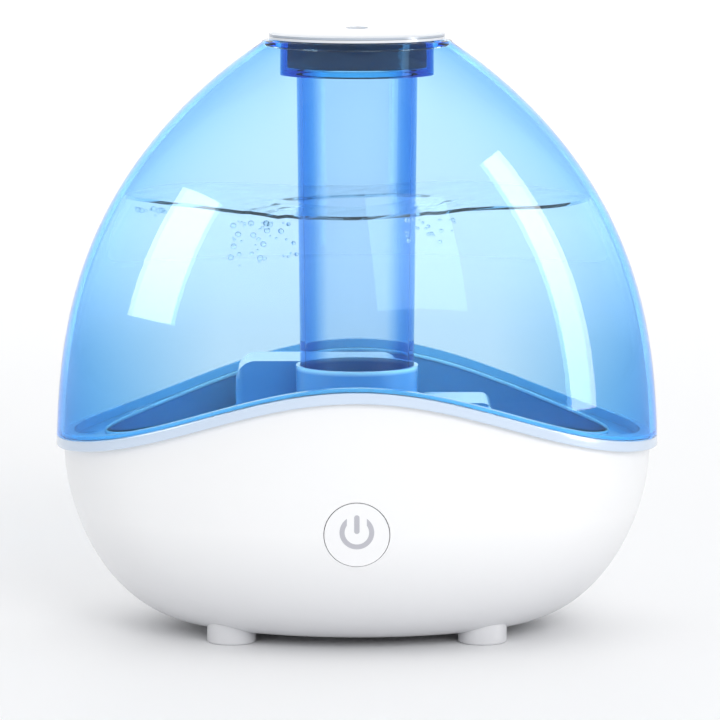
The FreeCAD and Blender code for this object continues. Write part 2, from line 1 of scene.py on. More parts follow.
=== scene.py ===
import bpy
import json
import math
import random
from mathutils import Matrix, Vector


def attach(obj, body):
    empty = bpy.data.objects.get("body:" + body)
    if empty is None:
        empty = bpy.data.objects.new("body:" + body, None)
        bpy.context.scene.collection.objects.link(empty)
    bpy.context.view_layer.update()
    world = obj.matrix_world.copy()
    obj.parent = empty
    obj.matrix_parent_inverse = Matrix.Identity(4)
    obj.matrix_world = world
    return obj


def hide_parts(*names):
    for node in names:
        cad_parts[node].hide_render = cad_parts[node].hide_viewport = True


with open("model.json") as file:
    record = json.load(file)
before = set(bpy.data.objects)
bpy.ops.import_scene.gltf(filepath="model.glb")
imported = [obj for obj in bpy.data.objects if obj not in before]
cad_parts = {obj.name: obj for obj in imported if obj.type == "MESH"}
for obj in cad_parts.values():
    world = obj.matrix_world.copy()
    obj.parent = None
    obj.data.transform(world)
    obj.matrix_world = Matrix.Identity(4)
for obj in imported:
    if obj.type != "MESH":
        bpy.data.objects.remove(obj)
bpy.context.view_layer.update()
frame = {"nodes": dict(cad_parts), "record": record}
nodes = frame["nodes"]
print("frame loaded:", len(nodes), "nodes")


# small helpers for picking things and for the node trees

def deselectAll():
    if bpy.context.object and bpy.context.object.mode != "OBJECT":
        bpy.ops.object.mode_set(mode="OBJECT")
    bpy.ops.object.select_all(action="DESELECT")


def pickOnly(piece):
    deselectAll()
    piece.select_set(True)
    bpy.context.view_layer.objects.active = piece


def applyModifier(piece, kind, **settings):
    pickOnly(piece)
    bpy.ops.object.modifier_add(type=kind)
    modifier = piece.modifiers[-1]
    for key, value in settings.items():
        setattr(modifier, key, value)
    bpy.ops.object.modifier_apply(modifier=modifier.name)


def smoothByAngle(piece, degrees=35):
    pickOnly(piece)
    bpy.ops.object.shade_smooth_by_angle(angle=math.radians(degrees))


def linkNodes(tree, source, output, target, entry):
    tree.links.new(source.outputs[output], target.inputs[entry])


def objectNoise(tree, scale, detail=3.0, rough=0.5, stretch=(1, 1, 1)):
    coords = tree.nodes.new("ShaderNodeTexCoord")
    mapping = tree.nodes.new("ShaderNodeMapping")
    noise = tree.nodes.new("ShaderNodeTexNoise")
    mapping.inputs["Scale"].default_value = stretch
    noise.inputs["Scale"].default_value = scale
    noise.inputs["Detail"].default_value = detail
    noise.inputs["Roughness"].default_value = rough
    linkNodes(tree, coords, "Object", mapping, "Vector")
    linkNodes(tree, mapping, "Vector", noise, "Vector")
    return noise


def addBump(tree, shader, sources, distance, strength):
    normal = None
    for source, output in sources:
        bump = tree.nodes.new("ShaderNodeBump")
        bump.inputs["Distance"].default_value = distance
        bump.inputs["Strength"].default_value = strength
        linkNodes(tree, source, output, bump, "Height")
        if normal:
            linkNodes(tree, normal, "Normal", bump, "Normal")
        normal = bump
    linkNodes(tree, normal, "Normal", shader, "Normal")


def startMaterial(name):
    material = bpy.data.materials.new(name)
    material.use_nodes = True
    tree = material.node_tree
    return material, tree, tree.nodes["Principled BSDF"]


def tintByNoise(tree, shader, color, spread, scale, stretch=(1, 1, 1)):
    noise = objectNoise(tree, scale, stretch=stretch)
    ramp = tree.nodes.new("ShaderNodeValToRGB")
    ramp.color_ramp.elements[0].position = 0.3
    ramp.color_ramp.elements[1].position = 0.7
    ramp.color_ramp.elements[0].color = [max(0.0, c * (1 - spread)) for c in color] + [1]
    ramp.color_ramp.elements[1].color = [min(1.0, c * (1 + spread)) for c in color] + [1]
    linkNodes(tree, noise, "Fac", ramp, "Fac")
    linkNodes(tree, ramp, "Color", shader, "Base Color")
    return ramp


def roughByNoise(tree, shader, low, high, scale, stretch=(1, 1, 1)):
    noise = objectNoise(tree, scale, 4.0, stretch=stretch)
    span = mapSpan(tree, noise, "Fac", 0.3, 0.7, low, high)
    linkNodes(tree, span, "Result", shader, "Roughness")


def mapSpan(tree, source, output, fromLow, fromHigh, toLow, toHigh):
    span = tree.nodes.new("ShaderNodeMapRange")
    span.inputs["From Min"].default_value = fromLow
    span.inputs["From Max"].default_value = fromHigh
    span.inputs["To Min"].default_value = toLow
    span.inputs["To Max"].default_value = toHigh
    linkNodes(tree, source, output, span, "Value")
    return span


# materials

def mouldedPlastic(name, color, rough, grain=900.0, depth=0.00002, spread=0.015, coat=0.0):
    material, tree, shader = startMaterial(name)
    tintByNoise(tree, shader, color, spread, 22.0)
    roughByNoise(tree, shader, rough * 0.94, rough * 1.06, 40.0)
    fine = objectNoise(tree, grain, 2.0)
    addBump(tree, shader, [(fine, "Fac")], depth, 0.35)
    shader.inputs["Coat Weight"].default_value = coat
    shader.inputs["Coat Roughness"].default_value = 0.05
    return material


def clearPlastic(name, tint, absorbColor, density, rough, ior=1.45, coat=0.0):
    material, tree, shader = startMaterial(name)
    tintByNoise(tree, shader, tint, 0.01, 6.0)
    roughByNoise(tree, shader, rough * 0.7, rough * 1.3, 30.0)
    ripple = objectNoise(tree, 14.0, 1.0)
    addBump(tree, shader, [(ripple, "Fac")], 0.00008, 0.12)
    shader.inputs["Transmission Weight"].default_value = 1.0
    shader.inputs["IOR"].default_value = ior
    shader.inputs["Coat Weight"].default_value = coat
    shader.inputs["Coat IOR"].default_value = 1.5
    shader.inputs["Coat Roughness"].default_value = 0.02
    if density:
        absorb = tree.nodes.new("ShaderNodeVolumeAbsorption")
        absorb.inputs["Color"].default_value = list(absorbColor) + [1]
        absorb.inputs["Density"].default_value = density
        linkNodes(tree, absorb, "Volume", tree.nodes["Material Output"], "Volume")
    return material


filmFade = {"clearBelow": 0.100, "fullAbove": 0.146, "deepCover": 0.01,
            "front": -0.030, "rear": 0.020, "frontShare": 0.08}


def palePlastic(name, color, cover, paintedGlow):
    # a faint film, clearer with depth and towards the front; its white and its own light are painted light,
    # standing in for the light coming through the water
    material, tree, shader = startMaterial(name)
    tintByNoise(tree, shader, color, 0.01, 12.0)
    ripple = objectNoise(tree, 60.0, 2.0)
    addBump(tree, shader, [(ripple, "Fac")], 0.0002, 0.2)
    shader.inputs["Roughness"].default_value = 0.05
    shader.inputs["Emission Color"].default_value = (0.90, 0.95, 1.0, 1)
    shader.inputs["Emission Strength"].default_value = paintedGlow
    coords = tree.nodes.new("ShaderNodeTexCoord")
    split = tree.nodes.new("ShaderNodeSeparateXYZ")
    linkNodes(tree, coords, "Object", split, "Vector")
    low, high = filmFade["clearBelow"], filmFade["fullAbove"]
    depth = mapSpan(tree, split, "Z", low, high, filmFade["deepCover"], cover)
    behind = mapSpan(tree, split, "Y", filmFade["front"], filmFade["rear"], filmFade["frontShare"], 1.0)
    both = tree.nodes.new("ShaderNodeMath")
    both.operation = "MULTIPLY"
    linkNodes(tree, depth, "Result", both, 0)
    linkNodes(tree, behind, "Result", both, 1)
    linkNodes(tree, both, "Value", shader, "Alpha")
    return material


def paintEdgeShade(material, edgeShadeColor, startAt, fullAt):
    # painted shade: the colour turns to the edge shade colour where the surface is seen edge on
    tree = material.node_tree
    shader = tree.nodes["Principled BSDF"]
    plain = shader.inputs["Base Color"].links[0].from_socket
    facing = tree.nodes.new("ShaderNodeLayerWeight")
    facing.inputs["Blend"].default_value = 0.5
    span = mapSpan(tree, facing, "Facing", startAt, fullAt, 0.0, 1.0)
    blend = tree.nodes.new("ShaderNodeMix")
    blend.data_type = "RGBA"
    linkNodes(tree, span, "Result", blend, "Factor")
    tree.links.new(plain, blend.inputs[6])
    blend.inputs[7].default_value = list(edgeShadeColor) + [1]
    tree.links.new(blend.outputs[2], shader.inputs["Base Color"])
    return material


def glossOutside(material, coat):
    # the outside of the wall is polished and the inside is as it left the mould
    tree = material.node_tree
    coords = tree.nodes.new("ShaderNodeTexCoord")
    outward = tree.nodes.new("ShaderNodeVectorMath")
    outward.operation = "DOT_PRODUCT"
    linkNodes(tree, coords, "Normal", outward, 0)
    linkNodes(tree, coords, "Object", outward, 1)
    span = mapSpan(tree, outward, "Value", -0.004, 0.004, 0.0, coat)
    linkNodes(tree, span, "Result", tree.nodes["Principled BSDF"], "Coat Weight")
    return material


def brushedMetal(name, color, rough, stretch=(1, 1, 20)):
    material, tree, shader = startMaterial(name)
    tintByNoise(tree, shader, color, 0.08, 150.0, stretch)
    roughByNoise(tree, shader, rough * 0.7, rough * 1.4, 300.0, stretch)
    scratches = objectNoise(tree, 700.0, 4.0, stretch=stretch)
    addBump(tree, shader, [(scratches, "Fac")], 0.00002, 0.4)
    shader.inputs["Metallic"].default_value = 1.0
    return material


def softRubber(name, color, rough=0.55):
    material, tree, shader = startMaterial(name)
    tintByNoise(tree, shader, color, 0.08, 80.0)
    roughByNoise(tree, shader, rough * 0.9, rough * 1.15, 120.0)
    grain = objectNoise(tree, 1600.0, 3.0)
    addBump(tree, shader, [(grain, "Fac")], 0.00003, 0.5)
    return material


def circuitBoard(name):
    material, tree, shader = startMaterial(name)
    coords = tree.nodes.new("ShaderNodeTexCoord")
    tracks = tree.nodes.new("ShaderNodeTexBrick")
    tracks.inputs["Scale"].default_value = 260.0
    tracks.inputs["Color1"].default_value = (0.012, 0.085, 0.03, 1)
    tracks.inputs["Color2"].default_value = (0.02, 0.12, 0.045, 1)
    tracks.inputs["Mortar"].default_value = (0.035, 0.17, 0.07, 1)
    tracks.inputs["Mortar Size"].default_value = 0.03
    linkNodes(tree, coords, "Object", tracks, "Vector")
    linkNodes(tree, tracks, "Color", shader, "Base Color")
    roughByNoise(tree, shader, 0.25, 0.4, 90.0)
    addBump(tree, shader, [(tracks, "Fac")], 0.00004, 0.4)
    return material


def readAxis(tree, axis):
    # X, Y or Z as they are, "side" for the distance from the middle,
    # "oval" for the place in the sunk floor's outline, which is at 1
    coords = tree.nodes.new("ShaderNodeTexCoord")
    if axis == "oval":
        shrink = tree.nodes.new("ShaderNodeMapping")
        shrink.inputs["Scale"].default_value = (1 / floorOval[0], 1 / floorOval[1], 0)
        linkNodes(tree, coords, "Object", shrink, "Vector")
        reach = tree.nodes.new("ShaderNodeVectorMath")
        reach.operation = "LENGTH"
        linkNodes(tree, shrink, "Vector", reach, 0)
        return reach, "Value"
    split = tree.nodes.new("ShaderNodeSeparateXYZ")
    linkNodes(tree, coords, "Object", split, "Vector")
    if axis != "side":
        return split, axis
    side = tree.nodes.new("ShaderNodeMath")
    side.operation = "ABSOLUTE"
    linkNodes(tree, split, "X", side, 0)
    return side, "Value"


def paintLightShadeZone(material, paintedColor, spans):
    # painted light and shade: the painted colour comes in from the start to the full place of every (axis,
    # start, full)
    tree = material.node_tree
    shader = tree.nodes["Principled BSDF"]
    plain = shader.inputs["Base Color"].links[0].from_socket
    share = None
    for axis, start, full in spans:
        source, output = readAxis(tree, axis)
        span = mapSpan(tree, source, output, start, full, 0.0, 1.0)
        if share:
            both = tree.nodes.new("ShaderNodeMath")
            both.operation = "MULTIPLY"
            tree.links.new(share, both.inputs[0])
            linkNodes(tree, span, "Result", both, 1)
            share = both.outputs["Value"]
        else:
            share = span.outputs["Result"]
    blend = tree.nodes.new("ShaderNodeMix")
    blend.data_type = "RGBA"
    tree.links.new(share, blend.inputs["Factor"])
    tree.links.new(plain, blend.inputs[6])
    blend.inputs[7].default_value = list(paintedColor) + [1]
    tree.links.new(blend.outputs[2], shader.inputs["Base Color"])
    return material


floorOval = (0.0922, 0.0602)

finishes = {
    "white": mouldedPlastic("satinWhite", (0.915, 0.92, 0.93), 0.32, spread=0.001, coat=0.2),
    "gloss_white": mouldedPlastic("glossWhite", (0.91, 0.915, 0.93), 0.16, spread=0.001, coat=0.4),
    "tray_plastic": mouldedPlastic("trayWhite", (0.62, 0.78, 0.90), 0.3),
    "clear_blue": clearPlastic("clearBlueTank", (0.985, 0.995, 1.0), (0.06, 0.65, 0.985), 128.0, 0.015,
                               ior=1.06, coat=0.6),
    "pale_blue": mouldedPlastic("tankFloorBlue", (0.10, 0.33, 0.66), 0.14, coat=0.6),
    "tube_blue": clearPlastic("tubeBlue", (0.99, 0.995, 1.0), (0.15, 0.52, 0.90), 105.0, 0.02,
                              ior=1.01, coat=0.3),
    "socket_blue": clearPlastic("socketBlue", (0.97, 0.99, 1.0), (0.06, 0.74, 0.93), 345.0, 0.03,
                                ior=1.01, coat=0.25),
    # the dark silicone is also painted shade: its deep navy stands in for the shade inside the nozzle
    # socket
    "dark_rubber": softRubber("darkSiliconeShade", (0.001, 0.026, 0.075), 0.75),
    "grey_rubber": softRubber("greySilicone", (0.18, 0.20, 0.22)),
    "steel": brushedMetal("zincSteel", (0.55, 0.56, 0.58), 0.32),
    "board": circuitBoard("solderMask"),
    "black_plastic": mouldedPlastic("blackPlastic", (0.018, 0.018, 0.02), 0.42, spread=0.1),
    "motor": brushedMetal("motorSteel", (0.36, 0.24, 0.16), 0.45),
    "aluminium": brushedMetal("sinkAluminium", (0.72, 0.73, 0.75), 0.3),
    "capacitor": mouldedPlastic("capacitorSleeve", (0.012, 0.02, 0.09), 0.25, spread=0.08),
    "copper": brushedMetal("windingCopper", (0.62, 0.27, 0.12), 0.28, (25, 25, 1)),
    "connector": mouldedPlastic("nylonConnector", (0.78, 0.74, 0.62), 0.4),
    "ceramic": mouldedPlastic("glazedCeramic", (0.74, 0.70, 0.58), 0.12, coat=0.6),
    "magnet": brushedMetal("ferrite", (0.08, 0.08, 0.085), 0.6),
    "float_foam": mouldedPlastic("floatFoam", (0.82, 0.82, 0.80), 0.6, grain=400.0, depth=0.0002,
                                 spread=0.04),
    "glass_reed": clearPlastic("reedGlass", (0.9, 0.97, 0.95), (0.9, 0.97, 0.95), 0.0, 0.02),
    "icon_grey": mouldedPlastic("iconGrey", (0.50, 0.50, 0.55), 0.35),
    "led": clearPlastic("ledEpoxy", (0.55, 0.78, 1.0), (0.3, 0.6, 1.0), 0.0, 0.05),
    "brass_pin": brushedMetal("platedBrass", (0.80, 0.62, 0.30), 0.22),
    "spring_steel": brushedMetal("springWire", (0.68, 0.69, 0.71), 0.2),
    "lead_red": softRubber("redLead", (0.45, 0.03, 0.02), 0.4),
    "lead_black": softRubber("blackLead", (0.02, 0.02, 0.022), 0.4),
    "lead_white": softRubber("whiteLead", (0.72, 0.72, 0.70), 0.4),
}
# painted reflection: the tank turns deeper blue at its lower sides, standing in for the darker surroundings
# mirrored near its edges
paintLightShadeZone(finishes["clear_blue"], (0.40, 0.70, 0.90), [("side", 0.050, 0.108), ("Z", 0.15, 0.075)])
glossOutside(finishes["clear_blue"], 0.6)
# painted shade: the white turns greyer towards the floor, below 45 mm
paintLightShadeZone(finishes["white"], (0.70, 0.705, 0.73), [("Z", 0.045, 0.004)])
# painted shade on the edges of the tube and the socket, where they are seen edge on
paintEdgeShade(finishes["tube_blue"], (0.40, 0.68, 0.92), 0.16, 0.42)
paintEdgeShade(finishes["socket_blue"], (0.35, 0.66, 0.92), 0.3, 0.6)
rimFinish = mouldedPlastic("frostedRim", (0.62, 0.73, 0.88), 0.2, coat=0.5)
floorFinish = mouldedPlastic("sunkFloorBlue", (0.035, 0.26, 0.64), 0.14, coat=0.6)
# painted highlight: the light blue of the bead along the sunk floor's edge
beadHighlight = mouldedPlastic("litEdgeBlue", (0.42, 0.80, 0.92), 0.12, coat=0.5)
# painted light: the water film is whitened and given a light of its own
waterFinish = palePlastic("tankWater", (1.0, 1.0, 1.0), 0.40, 0.42)
surfaceFinish = clearPlastic("waterSurface", (0.97, 0.99, 1.0), (0.25, 0.75, 0.97), 15.0, 0.01,
                             ior=1.04, coat=0.1)
bubbleFinish = clearPlastic("airBubble", (0.9, 0.96, 1.0), (1.0, 1.0, 1.0), 0.0, 0.01, ior=1.12)
# painted shade on the rims of the bubbles
paintEdgeShade(bubbleFinish, (0.10, 0.28, 0.40), 0.3, 0.7)

# pieces with painted light and shade on them: a painted highlight on the flange round the sunk floor,
# painted light on the tops and rear corners of the hollow blocks and on the collar's lip, and painted shade
# on the skirt of the nozzle
ductHoodFinish = mouldedPlastic("ductHoodBlue", (0.09, 0.32, 0.62), 0.14, coat=0.6)
floatHoodFinish = mouldedPlastic("floatHoodBlue", (0.09, 0.32, 0.62), 0.14, coat=0.6)
collarFinish = mouldedPlastic("collarBlue", (0.10, 0.33, 0.66), 0.14, coat=0.6)
nozzleFinish = mouldedPlastic("nozzleWhite", (0.91, 0.915, 0.93), 0.2, spread=0.001, coat=0.3)
litAndShadedFinishes = {
    "tank_bottom": paintLightShadeZone(floorFinish, (0.20, 0.58, 0.84), [("oval", 0.985, 1.015)]),
    "duct_hood": paintLightShadeZone(ductHoodFinish, (0.75, 0.93, 0.98), [("Y", 0.0122, 0.0126), ("Z", 0.089, 0.095)]),
    "float_hood": paintLightShadeZone(floatHoodFinish, (0.6, 0.86, 0.96),
                           [("Y", -0.0213, -0.0209), ("Z", 0.078, 0.084)]),
    "tube_collar": paintLightShadeZone(collarFinish, (0.55, 0.85, 0.95), [("Z", 0.0945, 0.0958)]),
    "nozzle_cap": paintLightShadeZone(nozzleFinish, (0.50, 0.55, 0.62), [("Z", 0.2182, 0.2172)]),
}

for part in frame["record"]["subparts"]:
    finish = litAndShadedFinishes.get(part["node"], finishes[part["material_slot"]])
    for socket in nodes[part["node"]].material_slots:
        socket.material = finish
print("finishes assigned:", len(finishes))


# tank shape, by the same rules as the solids

tankShape = {"halfWidth": 0.110, "halfDepth": 0.078, "topRadius": 0.033, "shoulder": 0.0512,
             "span": 0.180, "crown": 2.746, "belly": 1.234, "top": 0.215, "wall": 0.0027,
             "socketHole": 0.0279, "zone": 0.112, "segments": 160}
seamShape = {"low": 0.0668, "rise": 0.0253, "span": 0.240}


def tankHalfSizes(height, inset=0.0):
    over = max(0.0, (height - tankShape["shoulder"]) / tankShape["span"])
    wide = tankShape["halfWidth"] * (1 - over ** tankShape["crown"]) ** (1 / tankShape["belly"])
    share = (wide - tankShape["topRadius"]) / (tankShape["halfWidth"] - tankShape["topRadius"])
    deep = tankShape["topRadius"] + (tankShape["halfDepth"] - tankShape["topRadius"]) * share
    return wide - inset, deep - inset


def seamHeight(x):
    return seamShape["low"] + seamShape["rise"] * math.cos(math.pi * x / seamShape["span"]) ** 2


def startRing(name, halfSizes, height, segments):
    deselectAll()
    place = (0, 0, height)
    bpy.ops.mesh.primitive_circle_add(vertices=segments, radius=1, fill_type="NOTHING", location=place)
    ring = bpy.context.object
    ring.name = name
    ring.scale = (halfSizes[0], halfSizes[1], 1)
    bpy.ops.object.transform_apply(location=True, rotation=True, scale=True)
    bpy.ops.object.mode_set(mode="EDIT")
    bpy.ops.mesh.select_mode(type="EDGE")
    bpy.ops.mesh.select_all(action="SELECT")
    return ring


def growRing(before, after, fromHeight, toHeight):
    bpy.ops.mesh.extrude_region_move(TRANSFORM_OT_translate={"value": (0, 0, toHeight - fromHeight)})
    stretch = (after[0] / before[0], after[1] / before[1], 1)
    bpy.ops.transform.resize(value=stretch, center_override=(0, 0, toHeight))


def stackRings(name, levels, segments):
    # levels: (half sizes, height) from one open edge to the other
    sizes, height = levels[0]
    piece = startRing(name, sizes, height, segments)
    for nextSizes, nextHeight in levels[1:]:
        growRing(sizes, nextSizes, height, nextHeight)
        sizes, height = nextSizes, nextHeight
    bpy.ops.object.mode_set(mode="OBJECT")
    return piece


def flipFaces(piece):
    pickOnly(piece)
    bpy.ops.object.mode_set(mode="EDIT")
    bpy.ops.mesh.select_all(action="SELECT")
    bpy.ops.mesh.flip_normals()
    bpy.ops.object.mode_set(mode="OBJECT")


def faceOutward(piece, centre=(0, 0, 0.12)):
    pickOnly(piece)
    faces = piece.data.polygons
    outward = sum((face.center - Vector(centre)).dot(face.normal) * face.area for face in faces)
    if outward < 0:
        flipFaces(piece)


def settleOnSeam(piece, lift, zoneTop, halfSizesAt):
    # lower rings follow the wavy seam, and fade to level at the top of the zone
    bottom = min(vertex.co.z for vertex in piece.data.vertices)
    for vertex in piece.data.vertices:
        if vertex.co.z < zoneTop - 0.00001:
            share = (zoneTop - vertex.co.z) / (zoneTop - bottom)
            wide, deep = halfSizesAt(vertex.co.z)
            turn = math.atan2(vertex.co.y / deep, vertex.co.x / wide)
            height = zoneTop + (seamHeight(wide * math.cos(turn)) + lift - zoneTop) * share
            wide, deep = halfSizesAt(height)
            vertex.co = (wide * math.cos(turn), deep * math.sin(turn), height)


def finishPiece(piece, body, material, degrees=35):
    piece.data.materials.clear()
    piece.data.materials.append(material)
    smoothByAngle(piece, degrees)
    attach(piece, body)
    return piece


# tank wall, one smooth shell from the seam to the socket

tankWall = {"start": 0.078, "rim": 0.0040, "lowRings": 8, "sideRings": 26,
            "edge": 0.0009, "edgeStretch": 1.6, "holeLip": 0.0012, "holeDrop": 0.00005}


def buildTankWall():
    zone = tankShape["zone"]
    low = tankWall["start"]
    levels = []
    for number in range(tankWall["lowRings"]):
        height = low + (zone - low) * number / tankWall["lowRings"]
        levels.append((tankHalfSizes(height), height))
    for number in range(tankWall["sideRings"] + 1):
        height = zone + (tankShape["top"] - tankWall["edge"] - zone) * number / tankWall["sideRings"]
        levels.append((tankHalfSizes(height), height))
    edgeSizes = levels[-1][0]
    for turn in (30, 60, 90):
        angle = math.radians(turn)
        inset = tankWall["edge"] * (1 - math.cos(angle)) * tankWall["edgeStretch"]
        height = tankShape["top"] - tankWall["edge"] * (1 - math.sin(angle))
        levels.append(((edgeSizes[0] - inset, edgeSizes[1] - inset), height))
    hole = tankShape["socketHole"]
    lip = hole + tankWall["holeLip"]
    levels.append(((lip, lip), tankShape["top"]))
    levels.append(((hole, hole), tankShape["top"] - tankWall["holeDrop"]))
    wall = stackRings("tankWall", levels, tankShape["segments"])
    settleOnSeam(wall, tankWall["rim"], zone, tankHalfSizes)
    faceOutward(wall)
    applyModifier(wall, "SOLIDIFY", thickness=tankShape["wall"], offset=-1.0, use_even_offset=True)
    return finishPiece(wall, "tank", finishes["clear_blue"], 40)


def seamBand(name, halfSizesAt, lowLift, highLift, wall, rounding=0.0005):
    # narrow band that runs along the seam, with softly rounded edges
    zoneTop = 0.100
    low = zoneTop - 0.004
    levels = [(halfSizesAt(low), low), (halfSizesAt(zoneTop - 0.002), zoneTop - 0.002)]
    band = stackRings(name, levels, tankShape["segments"])
    middle = zoneTop - 0.003
    for vertex in band.data.vertices:
        lift = highLift if vertex.co.z > middle else lowLift
        wide, deep = halfSizesAt(vertex.co.z)
        turn = math.atan2(vertex.co.y / deep, vertex.co.x / wide)
        height = seamHeight(wide * math.cos(turn)) + lift
        wide, deep = halfSizesAt(height)
        vertex.co = (wide * math.cos(turn), deep * math.sin(turn), height)
    faceOutward(band, (0, 0, 0.08))
    applyModifier(band, "SOLIDIFY", thickness=wall, offset=-1.0, use_even_offset=True)
    applyModifier(band, "BEVEL", width=rounding, segments=3, limit_method="ANGLE",
                  angle_limit=math.radians(50))
    return band


tankWallPiece = buildTankWall()
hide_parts("tank_shell")
tankRimPiece = seamBand("tankRim", tankHalfSizes, 0.0, tankWall["rim"] - 0.0001, tankShape["wall"])
finishPiece(tankRimPiece, "tank", rimFinish, 60)
print("tank wall built")


# bead along the edge of the sunk floor, just inside the seam, with a painted highlight in its light blue

floorBead = {"low": 0.0016, "high": 0.0030, "wide": 0.0011}


def beadHalfSizes(height):
    # straight sides, the same oval at every height
    return floorOval


bead = seamBand("floorEdgeBead", beadHalfSizes, floorBead["low"], floorBead["high"], floorBead["wide"])
finishPiece(bead, "tank", beadHighlight, 60)
print("floor edge bead built")


# water in the tank: a thin closed film down its sides, and a waved sheet on top round the tube

water = {"level": 0.1572, "gap": 0.0033, "floor": 0.0602, "floorWide": 0.0914, "floorDeep": 0.0594,
         "stepTop": 0.0640, "sideStart": 0.0660, "tubeGap": 0.0226, "sideRings": 10, "topRings": 26,
         "stepLift": 0.0026, "segments": 192, "skin": 0.0012, "film": 0.0001}

# climb towards the ends, long swell, two fine ripples, and the chop beside the tube at the front
waves = {"climb": 0.0026, "climbAt": 0.1, "swell": 0.0010, "swellTurns": 62,
         "rippleA": 0.00016, "rippleB": 0.00008, "chopA": 0.0003, "chopB": 0.0002,
         "chopMiddle": 0.030, "chopWide": 0.016, "chopFront": 0.03}


def waveHeight(x, y):
    swell = waves["climb"] * (abs(x) / waves["climbAt"]) ** 2
    swell -= waves["swell"] * math.cos(x * waves["swellTurns"] + 0.6)
    ripple = waves["rippleA"] * math.sin(x * 110 + y * 60)
    ripple += waves["rippleB"] * math.sin(x * 230 - y * 160 + 1.3)
    near = max(0.0, 1 - abs(abs(x) - waves["chopMiddle"]) / waves["chopWide"])
    near *= max(0.0, min(1.0, -y / waves["chopFront"]))
    chop = waves["chopA"] * math.sin(x * 520 + y * 90) + waves["chopB"] * math.sin(x * 800 - y * 240)
    return water["level"] + swell + ripple + near * chop


def waterHalfSizes(height):
    return tankHalfSizes(height, water["gap"])


def buildWater():
    floorSizes = (water["floorWide"], water["floorDeep"])
    levels = [(floorSizes, water["floor"]), (floorSizes, water["stepTop"])]
    low = water["sideStart"]
    top = water["level"]
    for number in range(water["sideRings"] + 1):
        height = low + (top - low) * number / water["sideRings"]
        levels.append((waterHalfSizes(height), height))
    body = stackRings("tankWater", levels, water["segments"])
    seatWater(body, low, top)
    faceOutward(body)
    applyModifier(body, "SOLIDIFY", thickness=water["film"], offset=-1.0)
    return finishPiece(body, "tank", waterFinish, 50)


def buildWaterSurface():
    outer = waterHalfSizes(water["level"])
    levels = []
    for number in range(water["topRings"] + 1):
        share = number / water["topRings"]
        sizes = tuple(side + (water["tubeGap"] - side) * share for side in outer)
        levels.append((sizes, water["level"]))
    sheet = stackRings("waterSurface", levels, water["segments"])
    seatWater(sheet, water["level"] - 0.001, water["level"])
    if sum(face.normal.z for face in sheet.data.polygons) < 0:
        flipFaces(sheet)
    applyModifier(sheet, "SOLIDIFY", thickness=water["skin"], offset=-1.0)
    # the sheet thins to nothing where it meets the tube
    for vertex in sheet.data.vertices:
        if math.hypot(vertex.co.x, vertex.co.y) < water["tubeGap"] + 0.0008:
            vertex.co.z = max(vertex.co.z, waveHeight(vertex.co.x, vertex.co.y) - 0.0001)
    return finishPiece(sheet, "tank", surfaceFinish, 50)


def seatWater(body, low, top):
    for vertex in body.data.vertices:
        x, y, z = vertex.co
        if z > top - 0.00001:
            height = waveHeight(x, y)
            outer = waterHalfSizes(top)
            fill = math.hypot(x / outer[0], y / outer[1])
            here = waterHalfSizes(height)
            widen = 1 + (here[0] / outer[0] - 1) * max(0.0, fill) ** 6
            vertex.co = (x * widen, y * widen, height)
        elif z > low - 0.00001:
            share = (top - z) / (top - low)
            sizes = waterHalfSizes(z)
            turn = math.atan2(y / sizes[1], x / sizes[0])
            seat = seamHeight(sizes[0] * math.cos(turn)) + water["stepLift"] + 0.0030
            height = waveHeight(x, y) + (seat - waveHeight(x, y)) * share
            sizes = waterHalfSizes(height)
            vertex.co = (sizes[0] * math.cos(turn), sizes[1] * math.sin(turn), height)
        elif z > water["floor"] + 0.001:
            turn = math.atan2(y / water["floorDeep"], x / water["floorWide"])
            vertex.co.z = seamHeight(water["floorWide"] * math.cos(turn)) + water["stepLift"] + 0.0008


buildWater()
buildWaterSurface()
print("water built")


# air bubbles under the surface and at the waterline

# each cluster: how many, its middle and half width along the tank, its top and its depth
bubbles = {"seed": 7, "radii": (0.0004, 0.0005, 0.0006, 0.0008, 0.0011), "clusters": [
    (46, -0.033, 0.012, 0.1535, 0.0150),
    (24, 0.026, 0.009, 0.1545, 0.0080),
    (14, -0.074, 0.006, 0.1560, 0.0030)]}


def buildBubble():
    deselectAll()
    bpy.ops.mesh.primitive_ico_sphere_add(subdivisions=2, radius=1)
    seedBubble = bpy.context.object
    seedBubble.name = "bubbleShape"
    bpy.ops.object.mode_set(mode="EDIT")
    bpy.ops.mesh.select_all(action="SELECT")
    bpy.ops.transform.resize(value=(1, 1, 0.86), center_override=(0, 0, 0))
    bpy.ops.object.mode_set(mode="OBJECT")
    return seedBubble


def scatterBubbles():
    draw = random.Random(bubbles["seed"])
    shape = buildBubble()
    copies = []
    for count, middle, spread, top, depth in bubbles["clusters"]:
        for number in range(count):
            x = middle + draw.uniform(-1, 1) * spread
            height = top - depth * draw.random() ** 1.5
            size = draw.choice(bubbles["radii"])
            sizes = waterHalfSizes(height)
            front = -sizes[1] * math.sqrt(max(0.0, 1 - (x / sizes[0]) ** 2))
            y = front + 0.003 + draw.random() * 0.006
            pickOnly(shape)
            bpy.ops.object.duplicate(linked=False)
            copy = bpy.context.object
            copy.location = (x, y, height)
            copy.scale = (size, size, size)
            copy.rotation_euler = (draw.uniform(-0.5, 0.5), draw.uniform(-0.5, 0.5), 0)
            bpy.ops.object.transform_apply(location=True, rotation=True, scale=True)
            copies.append(copy)
    deselectAll()
    for copy in copies:
        copy.select_set(True)
    bpy.context.view_layer.objects.active = copies[0]
    bpy.ops.object.join()
    cloud = bpy.context.object
    cloud.name = "waterBubbles"
    bpy.data.objects.remove(shape)
    return finishPiece(cloud, "tank", bubbleFinish, 60)


scatterBubbles()
print("bubbles built")


# camera

